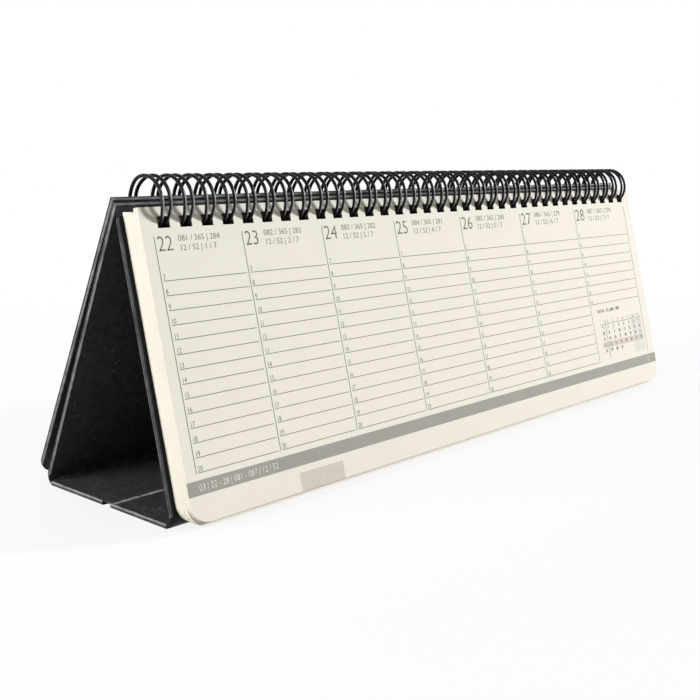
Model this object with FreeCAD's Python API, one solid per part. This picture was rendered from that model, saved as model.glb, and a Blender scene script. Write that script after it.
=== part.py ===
import FreeCAD, Part
import math
import os

Vector = FreeCAD.Vector

# Desk diary: a block of sheets on a twin-loop wire, in a case that folds into an easel.
# Millimetres, +X along the sheets, -Y towards the reader, +Z up, standing on Z = 0.
# Plates are drawn flat, with X across, Y up the plate and Z out of it towards the reader,
# and are then leaned about the wire's axis.

# Sheets
sheet_width = 297.0
sheet_height = 96.0
sheet_corner_radius = 6.8
leaf_thickness = 0.2
bundle_thickness = 0.7
raised_bundle_count = 2
lower_bundle_count = 8
raised_step = 1.2
block_ahead_of_axis = 5.2
leaf_clearance = 0.1
sheet_floor_clearance = 1.33

# Binding wire and the punched holes
loop_side_margin = 7.0
loop_pitch = 25.4 / 3
wire_diameter = 0.9
ring_radius = 8.6
front_leg_spacing = 3.1
rear_leg_spacing = 2.15
leg_taper_start = 20.0
leg_taper_end = 75.0
wire_bend_radius = 1.0
wire_tip_reach = 0.7
wire_seam_gap = 0.6
hole_width = 4.6
hole_height = 3.6
cover_hole_height = 5.0
hole_edge_margin = 2.9
lower_hole_margin = 3.6
raised_hole_drop = 6.7
cover_hole_drop = 6.4

# Case panels
panel_overhang = 2.0
board_thickness = 1.1
leatherette_thickness = 0.3
lining_thickness = 0.2
edge_wrap = 0.9
edge_round = 0.6
front_lean = 13.8
rear_lean = 25.8
cover_lean = 27.7
rear_panel_offset = 2.0
cover_gap = 0.3
front_panel_top_drop = 2.3
rear_panel_top_drop = 0.8
cover_top_drop = 0.2
front_panel_corner_radius = 2.5
cover_corner_radius = 7.0

# Base and its flexible hinges
front_base_depth = 28.9
crease_gap = 4.5
front_corner_height = 4.2
rear_corner_height = 3.6
cover_floor_gap = 2.2
front_corner_setback = 1.8
rear_corner_setback = 0.8
hinge_thickness = 0.55
crease_recess = 0.15
hinge_bulge = 0.75

# Sizes that follow from the ones above
panel_thickness = leatherette_thickness + board_thickness + lining_thickness
half_sheet = sheet_width / 2
half_case = half_sheet + panel_overhang
raised_thickness = raised_bundle_count * bundle_thickness
lower_thickness = lower_bundle_count * bundle_thickness
leaf_back = block_ahead_of_axis - leaf_thickness
bundles_front = leaf_back - leaf_clearance
lower_front = bundles_front - raised_thickness
block_back = lower_front - lower_thickness
front_panel_back = block_back - panel_thickness
loop_count = int((sheet_width - 2 * loop_side_margin) / loop_pitch) + 1
sheet_top = hole_edge_margin + hole_height / 2 - raised_hole_drop
lower_sheet_top = sheet_top - raised_step
lower_sheet_drop = sheet_height - lower_sheet_top
lean = math.radians(front_lean)
rear = math.radians(rear_lean)
cover = math.radians(cover_lean)
first_lower_back = lower_front - bundle_thickness
ring_height = (
    sheet_floor_clearance + lower_sheet_drop * math.cos(lean) - first_lower_back * math.sin(lean)
)
cover_offset = rear_panel_offset + panel_thickness + cover_gap


def ring_drop(offset):
    """How far below the wire's axis, along a plate, the ring passes through that plate."""
    return math.sqrt(ring_radius ** 2 - offset ** 2)


def lean_placement(angle):
    """Stand a flat plate up at the wire's axis, turned by an angle about X."""
    turn = FreeCAD.Rotation(Vector(1, 0, 0), angle)
    return FreeCAD.Placement(Vector(0, 0, ring_height), turn)


front_place = lean_placement(90 - front_lean)
rear_place = lean_placement(90 + rear_lean)
cover_place = lean_placement(90 + cover_lean)
base_place = FreeCAD.Placement()


def drop_to_height(place_angle, depth, height):
    """Y of a leaning plate's point at a depth that stands at a given height."""
    return (height - ring_height - depth * math.cos(place_angle)) / math.sin(place_angle)


front_panel_bottom = drop_to_height(math.pi / 2 - lean, front_panel_back, front_corner_height)
rear_panel_bottom = drop_to_height(math.pi / 2 + rear, -rear_panel_offset, rear_corner_height)
cover_bottom = drop_to_height(math.pi / 2 + cover, -cover_offset, cover_floor_gap)
front_panel_foot = front_place.multVec(Vector(0, front_panel_bottom, front_panel_back))
rear_panel_foot = rear_place.multVec(Vector(0, rear_panel_bottom, -rear_panel_offset))
base_front = front_panel_foot.y + front_corner_setback
base_back = rear_panel_foot.y - rear_corner_setback
crease_front = base_front + front_base_depth
crease_back = crease_front + crease_gap


def outline(half_width, bottom, top, bottom_radius, top_radius):
    """Closed outline of a plate, with its lower and upper corners rounded."""
    edges = []
    corners = [
        (half_width, bottom, bottom_radius, -90),
        (half_width, top, top_radius, 0),
        (-half_width, top, top_radius, 90),
        (-half_width, bottom, bottom_radius, 180),
    ]
    last = None
    first = None
    for x, y, radius, start in corners:
        centre = Vector(x - math.copysign(radius, x), y + (radius if y == bottom else -radius), 0)
        begin = centre + polar(radius, start)
        end = centre + polar(radius, start + 90)
        if last is None:
            first = begin
        else:
            edges.append(Part.LineSegment(last, begin).toShape())
        if radius > 0:
            edges.append(Part.Arc(begin, centre + polar(radius, start + 45), end).toShape())
        last = end
    edges.append(Part.LineSegment(last, first).toShape())
    return Part.Wire(edges)


def polar(radius, degrees):
    """Vector in the plate's plane at an angle from +X."""
    angle = math.radians(degrees)
    return Vector(radius * math.cos(angle), radius * math.sin(angle), 0)


def loop_centres():
    """X of each double loop of the wire."""
    middle = (loop_count - 1) / 2
    return [(index - middle) * loop_pitch for index in range(loop_count)]


def hole_outlines(centre, height):
    """Outlines of the row of punched holes, run clockwise, centred on a height along the plate."""
    wires = []
    for x in loop_centres():
        left = x - hole_width / 2
        right = x + hole_width / 2
        low = centre - height / 2
        high = centre + height / 2
        points = [Vector(left, low), Vector(left, high), Vector(right, high), Vector(right, low)]
        wires.append(Part.makePolygon(points + points[:1]))
    return wires


def plate(wires, low, high):
    """Plate between two depths, from an outline and any hole outlines."""
    face = Part.Face(wires)
    face.translate(Vector(0, 0, low))
    return face.extrude(Vector(0, 0, high - low))


def save(shapes, name, shape, place):
    """Put a finished piece in its place under its node name."""
    piece = shape.copy()
    piece.Placement = place.multiply(piece.Placement)
    shapes[name] = piece


def make_leaves(shapes):
    """The open sheet and the bundles of sheets behind it."""
    sheet = sheet_plate(sheet_top, hole_edge_margin, leaf_back, block_ahead_of_axis)
    save(shapes, "front_leaf", sheet, front_place)
    for index in range(raised_bundle_count + lower_bundle_count):
        front = bundles_front - index * bundle_thickness
        top = sheet_top
        margin = hole_edge_margin
        if index >= raised_bundle_count:
            # The lower bundles all stand at one height above the table
            top = lower_sheet_top + (lower_front - front) * math.tan(lean)
            margin = lower_hole_margin
        bundle = sheet_plate(top, margin, front - bundle_thickness, front)
        save(shapes, "leaves_%02d" % (index + 1), bundle, front_place)


def sheet_plate(top, hole_margin, low, high):
    """Sheet or bundle of sheets with its row of holes below the top edge."""
    edge = outline(half_sheet, top - sheet_height, top, sheet_corner_radius, 0)
    hole_centre = top - hole_margin - hole_height / 2
    return plate([edge] + hole_outlines(hole_centre, hole_height), low, high)


def make_panel(shapes, name, place, span, low, skin_low, radii=(0, 0), rounded=(), holes=None):
    """Board in a leatherette tray with turned edges, closed by a lining.

    span is the panel's lower and upper Y, low its lower depth, skin_low tells on which face the
    leatherette lies, rounded names the Y edges that are rounded over as well as the two ends.
    """
    bottom, top = span
    high = low + panel_thickness
    tray = plate([outline(half_case, bottom, top, *radii)], low, high)
    tray = tray.makeFillet(edge_round, [edge for edge in tray.Edges if is_open_edge(edge, span, rounded)])
    inner_radii = [max(radius - edge_wrap, 0) for radius in radii]
    inner = outline(half_case - edge_wrap, bottom + edge_wrap, top - edge_wrap, *inner_radii)
    if skin_low:
        board_low = low + leatherette_thickness
        lining_low = board_low + board_thickness
        pocket = plate([inner], board_low, high)
    else:
        lining_low = low
        board_low = low + lining_thickness
        pocket = plate([inner], low, high - leatherette_thickness)
    tray = tray.cut(pocket)
    wires = [inner]
    if holes:
        wires = wires + hole_outlines(*holes)
        punches = [plate([wire.reversed()], low, high) for wire in hole_outlines(*holes)]
        tray = tray.cut(Part.makeCompound(punches))
    board = plate(wires, board_low, board_low + board_thickness)
    lining = plate(wires, lining_low, lining_low + lining_thickness)
    save(shapes, name + "_leatherette", tray, place)
    save(shapes, name + "_board", board, place)
    save(shapes, name + "_lining", lining, place)


def is_open_edge(edge, span, rounded):
    """True for an edge of the panel's two faces that no hinge joins."""
    box = edge.BoundBox
    if box.ZLength > panel_thickness / 2:
        return False
    for y in span:
        if y not in rounded and abs(box.YMin - y) < edge_round and abs(box.YMax - y) < edge_round:
            return False
    return True


def make_case(shapes):
    """Easel panels, base panels and the turned-back cover."""
    front_top = -front_panel_top_drop
    rear_top = -rear_panel_top_drop
    cover_top = -cover_top_drop
    front_middle = front_panel_back + panel_thickness / 2
    rear_middle = rear_panel_offset + panel_thickness / 2
    make_panel(
        shapes, "front_panel", front_place, (front_panel_bottom, front_top), front_panel_back,
        skin_low=False, radii=(0, front_panel_corner_radius), rounded=(front_top,),
        holes=(-ring_drop(front_middle), hole_height),
    )
    make_panel(
        shapes, "rear_panel", rear_place, (rear_panel_bottom, rear_top),
        -rear_panel_offset - panel_thickness, skin_low=True, rounded=(rear_top,),
        holes=(-ring_drop(rear_middle), hole_height),
    )
    make_panel(
        shapes, "cover", cover_place, (cover_bottom, cover_top), -cover_offset - panel_thickness,
        skin_low=True, radii=(cover_corner_radius, 0), rounded=(cover_bottom, cover_top),
        holes=(-cover_hole_drop, cover_hole_height),
    )
    make_panel(shapes, "front_base", base_place, (base_front, crease_front), 0, skin_low=True)
    make_panel(shapes, "rear_base", base_place, (crease_back, base_back), 0, skin_low=True)


def bent_strip(outer, inner):
    """Hinge strip along X whose section is a band between two bulging arcs."""
    length = 2 * (half_case - edge_round)
    arcs = [bulged_arc(*outer), bulged_arc(*inner)]
    ends = [
        Part.LineSegment(outer[0], inner[0]).toShape(),
        Part.LineSegment(outer[1], inner[1]).toShape(),
    ]
    section = Part.Wire(Part.__sortEdges__(arcs + ends))
    section.translate(Vector(-length / 2, 0, 0))
    return Part.Face(section).extrude(Vector(length, 0, 0))


def bulged_arc(begin, end):
    """Arc in the YZ plane from begin to end that bulges to the left of its chord."""
    chord = end - begin
    side = Vector(0, -chord.z, chord.y).normalize()
    return Part.Arc(begin, (begin + end) * 0.5 + side * hinge_bulge, end).toShape()


def make_hinges(shapes):
    """Flexible leatherette strips between the panels."""
    front_face = front_panel_back + panel_thickness
    foot = front_place.multVec(Vector(0, front_panel_bottom, front_face))
    foot_inner = front_place.multVec(Vector(0, front_panel_bottom, front_face - hinge_thickness))
    toe = Vector(0, base_front, 0)
    toe_inner = Vector(0, base_front, hinge_thickness)
    shapes["front_corner_hinge"] = bent_strip((toe, foot), (toe_inner, foot_inner))

    rear_face = -rear_panel_offset - panel_thickness
    heel = Vector(0, base_back, 0)
    heel_inner = Vector(0, base_back, hinge_thickness)
    back = rear_place.multVec(Vector(0, rear_panel_bottom, rear_face))
    back_inner = rear_place.multVec(Vector(0, rear_panel_bottom, rear_face + hinge_thickness))
    shapes["rear_corner_hinge"] = bent_strip((back, heel), (back_inner, heel_inner))

    crease_top = panel_thickness - crease_recess
    half = half_case - edge_round
    crease = Part.makeBox(
        2 * half, crease_gap, hinge_thickness,
        Vector(-half, crease_front, crease_top - hinge_thickness),
    )
    shapes["base_crease_hinge"] = crease


def ring_point(x, degrees):
    """Point of the ring at X and an angle from +Y, turning towards +Z."""
    angle = math.radians(degrees)
    return Vector(x, ring_radius * math.cos(angle), ring_height + ring_radius * math.sin(angle))


def ring_tangent(degrees):
    """Direction of the ring at an angle, in the sense of growing angles."""
    angle = math.radians(degrees)
    return Vector(0, -math.sin(angle), math.cos(angle))


def arc_from(begin, tangent, end):
    """Arc that leaves begin along a tangent and reaches end."""
    chord = end - begin
    along = Vector(chord).normalize()
    turn = tangent.getAngle(along)
    side = (tangent - along * tangent.dot(along)).normalize()
    middle = (begin + end) * 0.5 + side * (chord.Length / 2 * math.tan(turn / 2))
    return Part.Arc(begin, middle, end).toShape()


def biarc(begin, begin_tangent, end, end_tangent):
    """Two tangent arcs from begin to end."""
    chord = end - begin
    both = begin_tangent + end_tangent
    spread = 2 * (1 - begin_tangent.dot(end_tangent))
    along = chord.dot(both)
    reach = (-along + math.sqrt(along ** 2 + spread * chord.dot(chord))) / spread
    joint = (begin + end + (begin_tangent - end_tangent) * reach) * 0.5
    return [arc_from(begin, begin_tangent, joint), arc_from(end, end_tangent * -1, joint)]


def ring_arc(x, start, end):
    """Part of the ring at X between two angles."""
    return Part.Arc(ring_point(x, start), ring_point(x, (start + end) / 2), ring_point(x, end)).toShape()


def wire_angles():
    """Ring angles where a loop's legs start, at the seam, and where its rounded tip begins."""
    panel_cross = math.degrees(math.asin(front_panel_back / ring_radius))
    panel_angle = 270 - front_lean - panel_cross
    tip = panel_angle + math.degrees(wire_tip_reach / ring_radius)
    seam = tip + math.degrees((wire_diameter + wire_seam_gap) / ring_radius)
    start = seam + math.degrees(wire_bend_radius / ring_radius)
    end = tip - math.degrees(front_leg_spacing / 2 / ring_radius) + 360
    return start, end


def wire_leg(centre, side, start, end):
    """One leg of a loop, from its bend at the seam round the ring to the tip."""
    rear_x = centre + side * rear_leg_spacing / 2
    front_x = centre + side * front_leg_spacing / 2
    taper_start = leg_taper_start + 360
    taper_end = leg_taper_end + 360
    foot = ring_point(rear_x, start)
    tangent = ring_tangent(start)
    run_end = foot - tangent * wire_bend_radius + Vector(side * wire_bend_radius, 0, 0)
    edges = [arc_from(run_end, Vector(-side, 0, 0), foot)]
    edges.append(ring_arc(rear_x, start, taper_start))
    edges += biarc(
        ring_point(rear_x, taper_start), ring_tangent(taper_start),
        ring_point(front_x, taper_end), ring_tangent(taper_end),
    )
    edges.append(ring_arc(front_x, taper_end, end))
    return edges, run_end


def wire_path():
    """Centre line of the whole wire, loop after loop."""
    start, end = wire_angles()
    tip_radius = front_leg_spacing / 2
    edges = []
    last = None
    for centre in loop_centres():
        left, left_run = wire_leg(centre, -1, start, end)
        right, right_run = wire_leg(centre, 1, start, end)
        tip_middle = ring_point(centre, end) + ring_tangent(end) * tip_radius
        tip = Part.Arc(
            ring_point(centre - tip_radius, end), tip_middle, ring_point(centre + tip_radius, end)
        )
        if last is not None:
            edges.append(Part.LineSegment(last, left_run).toShape())
        edges += left + [tip.toShape()] + right[::-1]
        last = right_run
    return Part.Wire(Part.__sortEdges__(edges))


def least_wire_gap(path):
    """Least gap between two stretches of the wire that are not neighbours, on points."""
    step = wire_diameter / 2
    apart = 6 * wire_diameter
    two_loops = 2 * path.Length / loop_count
    points = path.discretize(Distance=step)[:int(two_loops / step)]
    count = len(points)
    skip = int(apart / step)
    least = min(
        points[i].distanceToPoint(points[j])
        for i in range(count)
        for j in range(i + skip, count)
    )
    return least - wire_diameter


def make_wire(shapes):
    """Twin-loop wire as one unbroken tube."""
    path = wire_path()
    begin = path.OrderedVertexes[0].Point
    direction = path.OrderedEdges[0].tangentAt(path.OrderedEdges[0].FirstParameter)
    profile = Part.Wire(Part.makeCircle(wire_diameter / 2, begin, direction))
    tube = path.makePipeShell([profile], True, False)
    shapes["twin_loop_wire"] = tube
    section = math.pi * wire_diameter ** 2 / 4
    print("wire volume over section times length", tube.Volume / (section * path.Length))
    print("least gap of the wire to itself", round(least_wire_gap(path), 3))


def main():
    shapes = {}
    make_leaves(shapes)
    make_case(shapes)
    make_hinges(shapes)
    make_wire(shapes)
    boxes = [shape.optimalBoundingBox() for shape in shapes.values()]
    middle = (min(box.YMin for box in boxes) + max(box.YMax for box in boxes)) / 2
    os.makedirs("parts", exist_ok=True)
    for name, shape in shapes.items():
        shape.translate(Vector(0, -middle, 0))
        shape.exportStep("parts/%s.step" % name)
    print(len(shapes), "pieces, shifted by", -middle, "along Y")
    return shapes, middle


if __name__ == "__main__":
    main()
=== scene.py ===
import math
import random

import bpy
from bpy.props import FloatProperty, FloatVectorProperty, IntProperty, PointerProperty, StringProperty
from mathutils import Matrix, Vector
from mathutils import noise as pattern


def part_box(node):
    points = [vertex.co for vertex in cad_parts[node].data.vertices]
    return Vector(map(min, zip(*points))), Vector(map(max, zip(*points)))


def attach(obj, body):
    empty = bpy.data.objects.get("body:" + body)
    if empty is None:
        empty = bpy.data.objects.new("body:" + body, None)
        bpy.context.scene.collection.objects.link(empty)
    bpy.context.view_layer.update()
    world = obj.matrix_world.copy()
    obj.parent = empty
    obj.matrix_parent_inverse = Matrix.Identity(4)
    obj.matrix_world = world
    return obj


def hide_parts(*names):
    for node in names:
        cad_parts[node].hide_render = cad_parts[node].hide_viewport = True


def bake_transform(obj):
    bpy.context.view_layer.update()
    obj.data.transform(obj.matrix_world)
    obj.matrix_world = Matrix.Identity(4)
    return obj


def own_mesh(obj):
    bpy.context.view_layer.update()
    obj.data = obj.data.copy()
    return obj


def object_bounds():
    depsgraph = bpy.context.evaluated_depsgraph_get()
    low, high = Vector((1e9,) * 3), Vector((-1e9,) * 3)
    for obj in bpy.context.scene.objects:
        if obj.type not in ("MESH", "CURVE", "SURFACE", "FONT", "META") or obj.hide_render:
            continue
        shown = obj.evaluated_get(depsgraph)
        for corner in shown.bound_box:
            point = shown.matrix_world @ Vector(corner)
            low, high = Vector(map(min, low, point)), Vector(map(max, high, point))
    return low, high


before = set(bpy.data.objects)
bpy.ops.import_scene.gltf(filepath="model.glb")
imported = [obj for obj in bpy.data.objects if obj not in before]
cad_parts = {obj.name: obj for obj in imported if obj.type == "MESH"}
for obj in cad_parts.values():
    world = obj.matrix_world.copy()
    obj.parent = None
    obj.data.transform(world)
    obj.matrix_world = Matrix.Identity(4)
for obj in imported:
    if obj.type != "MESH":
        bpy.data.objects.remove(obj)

bl_info = {
    "name": "Easel Desk Diary",
    "version": (1, 0, 0),
    "blender": (4, 5, 0),
    "location": "View3D > Sidebar > Diary",
    "description": "Dresses a wire-bound desk diary and its folding easel case",
    "category": "Object",
}

# The imported construction's box, used to aim the lamps and to bound the floor's clear patch
CAD_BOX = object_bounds()

# Weeks printed on the open sheet and on the sheet under it
WEEKS = {
    "front_leaf": {"body": "front_leaf", "week": 12, "first_day": 22, "day_of_year": 81},
    "leaves_01": {"body": "easel_front", "week": 13, "first_day": 29, "day_of_year": 88},
}
MONTH = 3
MONTH_DAYS = 31
MONTH_FIRST_WEEK = 9
YEAR_DAYS = 365
YEAR_WEEKS = 52
WEEK_DAYS = 7
FIRST_HOUR = 7
LAST_HOUR = 20
SUNDAY_LAST_HOUR = 14

# Height of a digit in the built-in typeface, per unit of type size
DIGIT_HEIGHT = 0.691

PANELS = ("front_panel", "rear_panel", "cover", "front_base", "rear_base")
BUNDLES = sorted(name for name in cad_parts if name.startswith("leaves_"))


def length(name, description, default):
    """Length property in metres."""
    return FloatProperty(
        name=name, description=description, default=default, min=0.0, precision=5, unit="LENGTH"
    )


def whole(name, description, default, least=1):
    """Whole number property."""
    return IntProperty(name=name, description=description, default=default, min=least)


def portion(name, description, default, least=0.05):
    """Property that is a share of something."""
    return FloatProperty(
        name=name, description=description, default=default, min=least, max=1.0, subtype="FACTOR"
    )


def turning(name, description, degrees):
    """Angle property, given in degrees."""
    return FloatProperty(
        name=name, description=description, default=math.radians(degrees), subtype="ANGLE"
    )


def colour(name, description, default):
    """Linear colour property."""
    return FloatVectorProperty(
        name=name, description=description, default=default, size=3, min=0.0, max=1.0, subtype="COLOR"
    )


class DiarySheetSettings(bpy.types.PropertyGroup):
    """Sheets that make up the block."""

    per_bundle: whole("Sheets per bundle", "Sheets shown for each bundle of the block", 7)
    fill: portion("Fill", "Share of a bundle's thickness that is paper", 0.88, 0.1)
    scatter: length("Scatter", "How far a sheet strays from the bundle's edges", 0.00007)
    seed: whole("Seed", "Start of the sheets' scatter", 5)


class DiaryPrintSettings(bpy.types.PropertyGroup):
    """Layout of a printed week, measured from the lower left corner of the sheet."""

    film: length("Ink film", "Thickness of the ink on the sheet", 0.00002)
    column_left: length("Left rule", "First column rule from the sheet's left edge", 0.0043)
    column_right: length("Right rule", "Last column rule from the sheet's right edge", 0.0063)
    column_step: length("Column step", "How much wider a column is than the one before it", 0.00205)
    column_top: length("Column top", "Upper end of the column rules", 0.0871)
    column_bottom: length("Column foot", "Lower end of the column rules and last hour rule", 0.0150)
    hour_pitch: length("Hour pitch", "Distance between hour rules", 0.00449)
    column_rule: length("Column rule", "Width of a column rule", 0.00027)
    hour_rule: length("Hour rule", "Width of an hour rule", 0.00024)
    hour_inset: length("Hour inset", "Gap between an hour rule and the column rules", 0.0008)
    date_height: length("Date height", "Height of the day numbers", 0.0046)
    caption_height: length("Caption height", "Height of the small figures beside the day numbers", 0.00185)
    caption_pitch: length("Caption pitch", "Distance between the lines of small figures", 0.0030)
    hour_height: length("Hour height", "Height of the hour numbers", 0.00165)
    band_low: length("Band foot", "Lower edge of the grey band", 0.00845)
    band_high: length("Band top", "Upper edge of the grey band", 0.01295)
    band_height: length("Band figures", "Height of the figures in the band", 0.0021)
    tab_left: length("Tab left", "Left edge of the index tab", 0.0455)
    tab_width: length("Tab width", "Width of the index tab", 0.0205)
    tab_height: length("Tab height", "Height of the index tab", 0.0062)
    month_width: length("Month width", "Width of the small month table", 0.0397)
    month_gap: length("Month gap", "Gap between the small month table and the last column rule", 0.0019)
    month_foot: length("Month foot", "Foot of the small month table over the column's foot", 0.00315)
    month_row: length("Month row", "Row height of the small month table", 0.00275)
    month_height: length("Month figures", "Height of the figures in the month table", 0.00150)


class DiaryFinishSettings(bpy.types.PropertyGroup):
    """Colours of the diary's materials."""

    paper: colour("Paper", "Cream sheets", (0.855, 0.812, 0.714))
    # Punched edge colour is painted shade: it darkens the walls of the punched holes and the paper seen
    # through them, where little light reaches.
    punched: colour("Punched edge", "Soiled walls of the punched holes", (0.080, 0.058, 0.040))
    ink: colour("Ink", "Grey of rules and figures", (0.195, 0.184, 0.162))
    light_ink: colour("Light ink", "Paler grey of the small figures", (0.240, 0.229, 0.205))
    band: colour("Band", "Grey of the band under the columns", (0.340, 0.332, 0.297))
    tab: colour("Tab", "Warm grey of the index tab", (0.630, 0.585, 0.515))
    tint: colour("Tint", "Light grey behind the weekend's dates", (0.720, 0.685, 0.630))
    leatherette: colour("Leatherette", "Black of the case", (0.0062, 0.0064, 0.0074))
    # Wear colour is lint specks and worn edges of the case, with a painted highlight along the panels' rims.
    wear: colour("Wear", "Rubbed edges of the case", (0.360, 0.364, 0.378))
    lining: colour("Lining", "Black of the inner faces", (0.0430, 0.0438, 0.0478))
    fold: colour("Worn fold", "Whitened line along a fold", (0.900, 0.902, 0.915))
    board: colour("Board", "Grey board inside the panels", (0.300, 0.280, 0.250))
    wire: colour("Wire", "Coated binding wire", (0.0030, 0.0030, 0.0032))
    # Painted highlight along the outer side of the loops' upright legs.
    wire_wear: colour("Wire wear", "Rubbed outer side of the loops", (0.300, 0.300, 0.305))


class DiaryFoldSettings(bpy.types.PropertyGroup):
    """Flexible folds of the case."""

    rings: whole("Rings", "Rings of a fold along the case", 96, 8)
    rows: whole("Rows", "Rows of a fold's outer and inner face", 9, 3)
    corner_bulge: length("Corner bulge", "How far a lower corner stands out", 0.00070)
    inner_reach: length("Inner reach", "How far a corner's inner fold stands out from its chord", 0.00025)
    wrinkle: length("Wrinkle", "Height of the wrinkles in a fold", 0.00007)
    end_round: length("End round", "Rounding of a fold's ends", 0.00070)
    end_inset: length("End inset", "How far a fold stays short of the panels' ends", 0.00010)
    crease_sag: length("Crease sag", "Depth of the crease in the base", 0.00004)
    crease_keep: portion("Crease keep", "Share of the crease's width left when the case is folded", 0.3)


class DiaryWireSettings(bpy.types.PropertyGroup):
    """Binding wire."""

    detail: portion("Detail", "Share of the wire's faces that is kept", 0.4)
    coating: length("Coating", "Thickness of the coating over the wire", 0.00013)
    loops: whole("Loops", "Double loops of the wire", 34)
    pitch: length("Pitch", "Distance between the double loops", 0.0254 / 3)
    leg_reach: length("Leg reach", "Distance of a leg from the middle of its loop", 0.00155)
    gather: length("Gather", "How far a leg moves towards the middle of its loop", 0.00055)
    gather_from: turning("Gather from", "Angle under the front of a loop where its legs come together", 4.0)
    gather_to: turning("Gather to", "Angle under the front of a loop where its legs are together", 46.0)


class DiaryStageSettings(bpy.types.PropertyGroup):
    """Camera, lights and floor."""

    camera_place: FloatVectorProperty(
        name="Camera", description="Where the camera stands", default=(-0.333107, -0.275357, 0.109417),
        size=3, subtype="TRANSLATION",
    )
    camera_yaw: turning("Yaw", "Turn of the camera from +Y towards +X", 47.271)
    camera_pitch: turning("Pitch", "Tilt of the camera above the horizon", -10.230)
    lens: FloatProperty(name="Lens", description="Focal length on a 36 mm sensor", default=53.4824)
    floor_size: length("Floor", "Side of the floor", 6.0)
    floor: colour("Floor colour", "Pale floor", (0.92, 0.92, 0.92))


class DiarySettings(bpy.types.PropertyGroup):
    """Everything a user would change."""

    sheets: PointerProperty(type=DiarySheetSettings)
    layout: PointerProperty(type=DiaryPrintSettings)
    folds: PointerProperty(type=DiaryFoldSettings)
    wire: PointerProperty(type=DiaryWireSettings)
    finish: PointerProperty(type=DiaryFinishSettings)
    stage: PointerProperty(type=DiaryStageSettings)


# Helpers for objects


def settings_for(group):
    """One group of the scene's settings."""
    return getattr(bpy.context.scene.diary, group)


def select_only(*objects):
    """Select these objects alone, the first of them active."""
    bpy.ops.object.select_all(action="DESELECT")
    for obj in objects:
        obj.select_set(True)
    bpy.context.view_layer.objects.active = objects[0]


def new_object(name, mesh):
    """Link a mesh to the scene as a new object."""
    obj = bpy.data.objects.new(name, mesh)
    bpy.context.scene.collection.objects.link(obj)
    return obj


def joined(name, pieces):
    """Join pieces into one named object."""
    select_only(*pieces)
    if len(pieces) > 1:
        bpy.ops.object.join()
    obj = bpy.context.view_layer.objects.active
    obj.name = name
    obj.data.name = name
    return obj


def apply_place(obj):
    """Put an object's place, turn and scale into its mesh."""
    select_only(obj)
    bpy.ops.object.transform_apply(location=True, rotation=True, scale=True)


def apply_modifier(obj, kind, **values):
    """Add a modifier with these values and apply it."""
    modifier = obj.modifiers.new(kind.title(), kind)
    for key, value in values.items():
        setattr(modifier, key, value)
    select_only(obj)
    bpy.ops.object.modifier_apply(modifier=modifier.name)


def edit_all(obj, operation, **values):
    """Run a mesh operation on all of an object's mesh."""
    select_only(obj)
    bpy.ops.object.mode_set(mode="EDIT")
    bpy.ops.mesh.select_all(action="SELECT")
    operation(**values)
    bpy.ops.object.mode_set(mode="OBJECT")


def merge_doubles(obj, distance):
    """Merge vertices that lie on each other."""
    edit_all(obj, bpy.ops.mesh.remove_doubles, threshold=distance)


def wear_material(obj, material):
    """Give an object one material."""
    obj.data.materials.clear()
    obj.data.materials.append(material)


def plate_frame(node):
    """Flat frame of a plate: its matrix, width and height.

    Flat X runs along the plate, flat Y up it and flat Z out of the face that looks towards the reader.
    The origin is that face's lower left corner.
    """
    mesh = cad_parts[node].data
    facing = [face for face in mesh.polygons if face.normal.y < -0.5]
    normal = max(facing, key=lambda face: face.area).normal.copy()
    across = Vector((1, 0, 0))
    upward = normal.cross(across)
    points = [vertex.co for vertex in mesh.vertices]
    left = min(point.x for point in points)
    right = max(point.x for point in points)
    low = min(point.dot(upward) for point in points)
    high = max(point.dot(upward) for point in points)
    out = max(point.dot(normal) for point in points)
    origin = across * left + upward * low + normal * out
    turn = Matrix((across, upward, normal)).transposed().to_4x4()
    return Matrix.Translation(origin) @ turn, right - left, high - low


# Node groups shared by the materials


def new_group(name, outputs, **inputs):
    """Empty shader group of a vector and numbers, with the sockets of its two end nodes."""
    tree = bpy.data.node_groups.new(name, "ShaderNodeTree")
    tree.interface.new_socket("Vector", in_out="INPUT", socket_type="NodeSocketVector")
    for label, default in inputs.items():
        socket = tree.interface.new_socket(label, in_out="INPUT", socket_type="NodeSocketFloat")
        socket.default_value = default
    for label in outputs:
        tree.interface.new_socket(label, in_out="OUTPUT", socket_type="NodeSocketFloat")
    return tree, tree.nodes.new("NodeGroupInput").outputs, tree.nodes.new("NodeGroupOutput").inputs


def feed(tree, socket, value):
    """Join a socket to another one, or set it to a number."""
    if isinstance(value, bpy.types.NodeSocket):
        tree.links.new(value, socket)
    else:
        socket.default_value = value


def math_node(tree, operation, *values):
    """Math node whose inputs are sockets or numbers; returns its output."""
    node = tree.nodes.new("ShaderNodeMath")
    node.operation = operation
    for socket, value in zip(node.inputs, values):
        feed(tree, socket, value)
    return node.outputs["Value"]


def split_vector(tree, vector):
    """The three parts of a vector."""
    node = tree.nodes.new("ShaderNodeSeparateXYZ")
    tree.links.new(vector, node.inputs["Vector"])
    return node.outputs


def shaded(values, amount):
    """Colour made darker or lighter."""
    return [min(value * amount, 1.0) for value in values]


def ramp(tree, value, low, high):
    """Value that runs smoothly from 0 to 1 between two limits."""
    node = tree.nodes.new("ShaderNodeMapRange")
    node.interpolation_type = "SMOOTHSTEP"
    feed(tree, node.inputs["From Min"], low)
    feed(tree, node.inputs["From Max"], high)
    tree.links.new(value, node.inputs["Value"])
    return node.outputs["Result"]


def noise(tree, vector, scale, detail=2.0, roughness=0.5):
    """Noise value over a vector."""
    node = tree.nodes.new("ShaderNodeTexNoise")
    node.inputs["Scale"].default_value = scale
    node.inputs["Detail"].default_value = detail
    node.inputs["Roughness"].default_value = roughness
    tree.links.new(vector, node.inputs["Vector"])
    return node.outputs["Fac"]


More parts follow.
